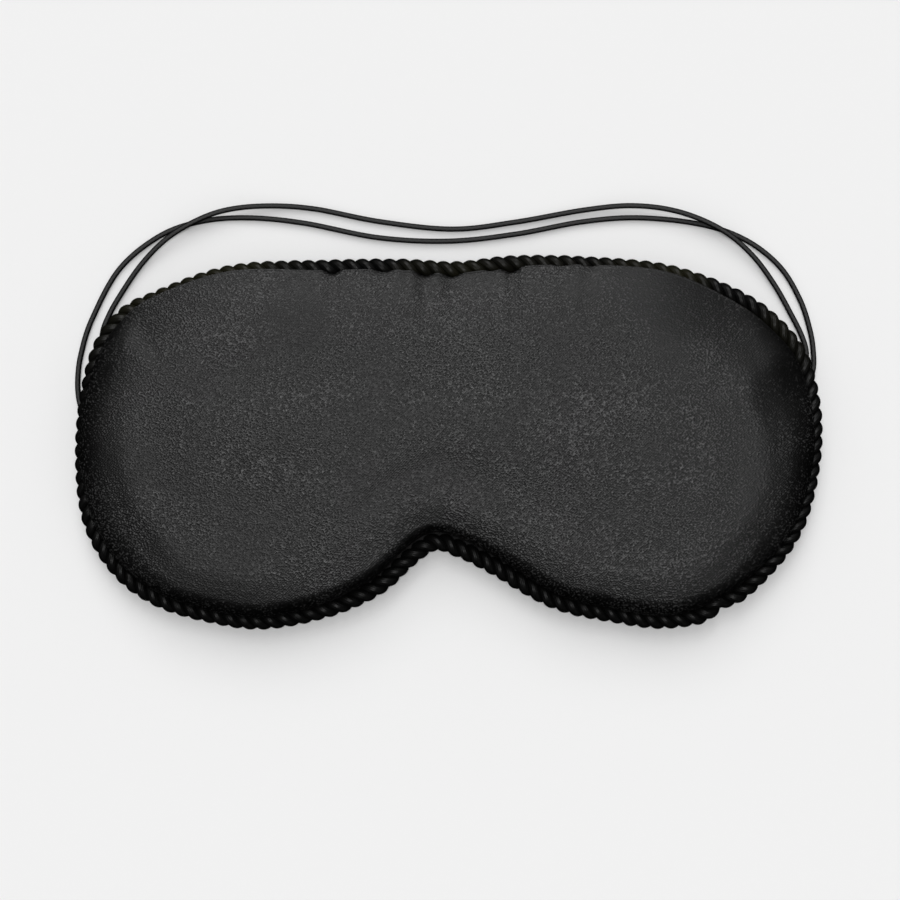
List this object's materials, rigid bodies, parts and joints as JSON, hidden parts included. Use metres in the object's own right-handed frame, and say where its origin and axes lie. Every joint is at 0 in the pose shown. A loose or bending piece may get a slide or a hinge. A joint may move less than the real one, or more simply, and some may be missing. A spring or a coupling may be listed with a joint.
{
  "type": "sleep eye mask",
  "caption": "Padded satin sleep eye mask with a nose notch, twisted cord sewn round its edge and thin round elastic head straps that swing at the seam.",
  "frame": {"origin": "middle of the mask body's width and height, on the surface that the mask lies on with its back down; the elastic straps are not counted", "axes": "+X across the mask's width, +Y from the nose notch towards the brow, +Z out of the front panel"},
  "size_m": [0.2109, 0.1202, 0.0123],
  "materials": {
    "front_satin": "satin",
    "back_satin": "satin",
    "interlining": "matte",
    "wadding": "matte",
    "tape": "matte",
    "edge_cord": "satin",
    "elastic": "matte",
    "thread": "matte"
  },
  "bodies": {
    "mask": {"front_panel": "front_satin", "back_panel": "back_satin", "blackout_interlining": "interlining", "wadding_pad": "wadding", "cord_lip_tape": "tape", "edge_cord": "edge_cord", "cord_join_stitch": "thread", "seam_thread": "thread", "gap_closing_thread": "thread", "lower_strap_left_end": "elastic", "lower_strap_right_end": "elastic", "upper_strap_left_end": "elastic", "upper_strap_right_end": "elastic", "lower_strap_left_tack": "thread", "lower_strap_right_tack": "thread", "upper_strap_left_tack": "thread", "upper_strap_right_tack": "thread"},
    "lower_elastic": {"lower_strap": "elastic"},
    "upper_elastic": {"upper_strap": "elastic"}
  },
  "joints": [
    {"name": "lower_strap_swing", "type": "hinge", "parent": "mask", "child": "lower_elastic", "pos_m": [-0.1046, 0.0124, 0.00095], "axis": [0.9981, 0.0615, 0], "range_deg": [-120, 120]},
    {"name": "upper_strap_swing", "type": "hinge", "parent": "mask", "child": "upper_elastic", "pos_m": [-0.0979, 0.0309, 0.00095], "axis": [0.9997, -0.0236, 0], "range_deg": [-120, 120]}
  ]
}
